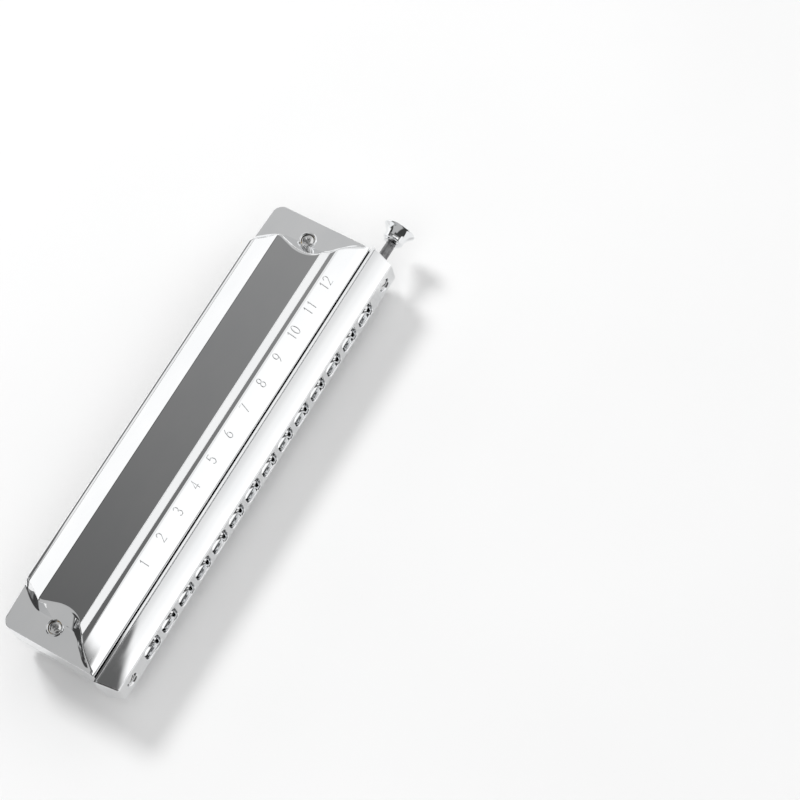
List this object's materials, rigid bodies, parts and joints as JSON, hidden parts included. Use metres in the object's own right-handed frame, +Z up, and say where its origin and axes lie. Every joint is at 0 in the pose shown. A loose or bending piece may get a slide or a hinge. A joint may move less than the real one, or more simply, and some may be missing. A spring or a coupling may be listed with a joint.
{
  "type": "chromatic harmonica",
  "caption": "Long chromed slide chromatic harmonica with a bevelled mouthpiece, pressed covers with a flat raised middle, reed plates on an aluminium comb and a spring-return slide button.",
  "frame": {"origin": "middle of the bottom cover's flat underside, on which the harmonica lies", "axes": "+X along the row of holes from the lowest note to the slide button, +Y from the mouth face to the open back, +Z up through the top cover"},
  "size_m": [0.1757, 0.0428, 0.0307],
  "materials": {
    "chrome_plate": "mirror polished chrome plate",
    "plated_plate": "fine satin plate",
    "anodised_comb": "milled and anodised, satin",
    "spring_steel": "ground and polished",
    "dark_steel": "turned, slightly dark",
    "screw_steel": "nickel plated",
    "post_brass": "turned",
    "reed_brass": "filed, fine lengthwise scratches",
    "rubber_pad": "matt"
  },
  "bodies": {
    "body": {"top_cover": "chrome_plate", "bottom_cover": "chrome_plate", "mouthpiece": "chrome_plate", "slide_front_guide": "spring_steel", "slide_back_guide": "spring_steel", "slide_spring": "spring_steel", "slide_bumper": "rubber_pad", "comb": "anodised_comb", "upper_reed_plate": "plated_plate", "lower_reed_plate": "plated_plate", "upper_cover_screw_low": "screw_steel", "upper_cover_post_low": "post_brass", "upper_cover_screw_high": "screw_steel", "upper_cover_post_high": "post_brass", "upper_plate_screw_1": "screw_steel", "upper_plate_screw_2": "screw_steel", "upper_plate_screw_3": "screw_steel", "upper_plate_screw_4": "screw_steel", "upper_reed_01": "reed_brass", "upper_reed_02": "reed_brass", "upper_reed_03": "reed_brass", "upper_reed_04": "reed_brass", "upper_reed_05": "reed_brass", "upper_reed_06": "reed_brass", "upper_reed_07": "reed_brass", "upper_reed_08": "reed_brass", "upper_reed_09": "reed_brass", "upper_reed_10": "reed_brass", "upper_reed_11": "reed_brass", "upper_reed_12": "reed_brass", "upper_reed_13": "reed_brass", "upper_reed_14": "reed_brass", "lower_cover_screw_low": "screw_steel", "lower_cover_post_low": "post_brass", "lower_cover_screw_high": "screw_steel", "lower_cover_post_high": "post_brass", "lower_plate_screw_1": "screw_steel", "lower_plate_screw_2": "screw_steel", "lower_plate_screw_3": "screw_steel", "lower_plate_screw_4": "screw_steel", "lower_reed_01": "reed_brass", "lower_reed_02": "reed_brass", "lower_reed_03": "reed_brass", "lower_reed_04": "reed_brass", "lower_reed_05": "reed_brass", "lower_reed_06": "reed_brass", "lower_reed_07": "reed_brass", "lower_reed_08": "reed_brass", "lower_reed_09": "reed_brass", "lower_reed_10": "reed_brass", "lower_reed_11": "reed_brass", "lower_reed_12": "reed_brass", "lower_reed_13": "reed_brass", "lower_reed_14": "reed_brass", "mouthpiece_screw_low": "screw_steel", "mouthpiece_screw_high": "screw_steel"},
    "slide_group": {"slide": "spring_steel", "button_neck": "dark_steel", "slide_button": "chrome_plate"}
  },
  "joints": [
    {"name": "button_slide", "type": "slide", "parent": "body", "child": "slide_group", "axis": [1, 0, 0], "range_m": [-0.0042, 0], "stiffness_N_per_m": 350, "springref_m": 0.002, "deforming": ["slide_spring"]}
  ]
}
